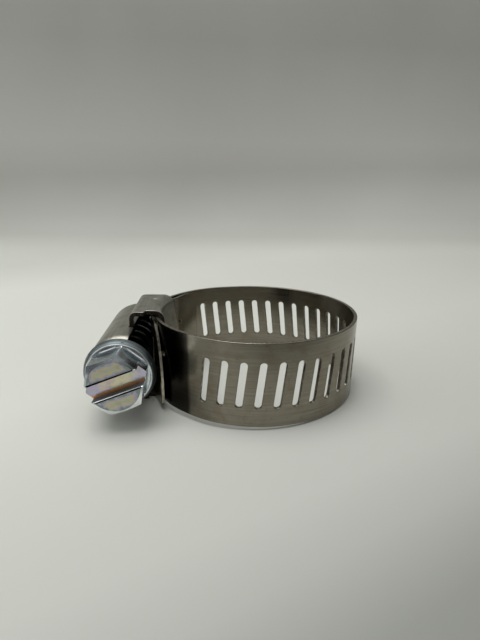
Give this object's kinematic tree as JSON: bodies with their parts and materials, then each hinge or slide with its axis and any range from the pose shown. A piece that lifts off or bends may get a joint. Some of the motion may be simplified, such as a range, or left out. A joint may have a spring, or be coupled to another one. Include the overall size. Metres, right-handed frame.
{
  "type": "hose clamp",
  "caption": "Worm-drive hose clamp: a perforated steel band drawn through a folded housing by a slotted hexagon-head worm screw.",
  "frame": {"origin": "centre of the ring, at half the band's width", "axes": "+Z along the axis of the hose, -X towards the housing, +Y along the screw, away from its head"},
  "size_m": [0.042, 0.0324, 0.0148],
  "materials": {
    "band_steel": "cold-rolled stainless strip, satin",
    "housing_steel": "stamped stainless sheet, satin",
    "screw_steel": "carbon steel, bright zinc plate with passivated tint"
  },
  "bodies": {
    "root": {"housing": "housing_steel", "band_fixed_end": "band_steel"},
    "screw": {"worm_screw": "screw_steel"},
    "free_end": {"band_free_end": "band_steel"},
    "link_1": {"band_link_1": "band_steel"},
    "link_2": {"band_link_2": "band_steel"},
    "link_3": {"band_link_3": "band_steel"},
    "link_4": {"band_link_4": "band_steel"},
    "link_5": {"band_link_5": "band_steel"},
    "link_6": {"band_link_6": "band_steel"},
    "link_7": {"band_link_7": "band_steel"},
    "link_8": {"band_link_8": "band_steel"}
  },
  "joints": [
    {"name": "screw_turn", "type": "hinge", "parent": "root", "child": "screw", "pos_m": [-0.02052, 0, 0], "axis": [0, 1, 0], "range_deg": [-90, 630]},
    {"name": "free_end_pull", "type": "hinge", "parent": "root", "child": "free_end", "pos_m": [-0.0012, 0, 0], "axis": [0, 0, 1], "range_deg": [-2.51, 17.28]},
    {"name": "band_bend_1", "type": "hinge", "parent": "free_end", "child": "link_1", "pos_m": [-0.00519, 0.01517, 0], "axis": [0, 0, 1], "range_deg": [-3.86, 0.59]},
    {"name": "band_bend_2", "type": "hinge", "parent": "link_1", "child": "link_2", "pos_m": [0.00286, 0.01565, 0], "axis": [0, 0, 1], "range_deg": [-2.65, 0.42]},
    {"name": "band_bend_3", "type": "hinge", "parent": "link_2", "child": "link_3", "pos_m": [0.01208, 0.01035, 0], "axis": [0, 0, 1], "range_deg": [-1.35, 0.24]},
    {"name": "band_bend_4", "type": "hinge", "parent": "link_3", "child": "link_4", "pos_m": [0.0156, 0.00312, 0], "axis": [0, 0, 1], "range_deg": [-0.782, 0.155]},
    {"name": "band_bend_5", "type": "hinge", "parent": "link_4", "child": "link_5", "pos_m": [0.01408, -0.00741, 0], "axis": [0, 0, 1], "range_deg": [-0.813, 0.159]},
    {"name": "band_bend_6", "type": "hinge", "parent": "link_5", "child": "link_6", "pos_m": [0.00866, -0.01335, 0], "axis": [0, 0, 1], "range_deg": [-1.41, 0.24]},
    {"name": "band_bend_7", "type": "hinge", "parent": "link_6", "child": "link_7", "pos_m": [-0.00169, -0.01582, 0], "axis": [0, 0, 1], "range_deg": [-2.73, 0.43]},
    {"name": "band_bend_8", "type": "hinge", "parent": "link_7", "child": "link_8", "pos_m": [-0.00921, -0.01297, 0], "axis": [0, 0, 1], "range_deg": [-3.91, 0.6]}
  ],
  "couplings": [
    {"joint": "free_end_pull", "follows": "screw_turn", "ratio": 0.027343},
    {"joint": "band_bend_1", "follows": "screw_turn", "ratio": -0.0060455},
    {"joint": "band_bend_2", "follows": "screw_turn", "ratio": -0.0041315},
    {"joint": "band_bend_3", "follows": "screw_turn", "ratio": -0.0020616},
    {"joint": "band_bend_4", "follows": "screw_turn", "ratio": -0.0011621},
    {"joint": "band_bend_5", "follows": "screw_turn", "ratio": -0.0012113},
    {"joint": "band_bend_6", "follows": "screw_turn", "ratio": -0.0021656},
    {"joint": "band_bend_7", "follows": "screw_turn", "ratio": -0.0042518},
    {"joint": "band_bend_8", "follows": "screw_turn", "ratio": -0.0061275}
  ]
}
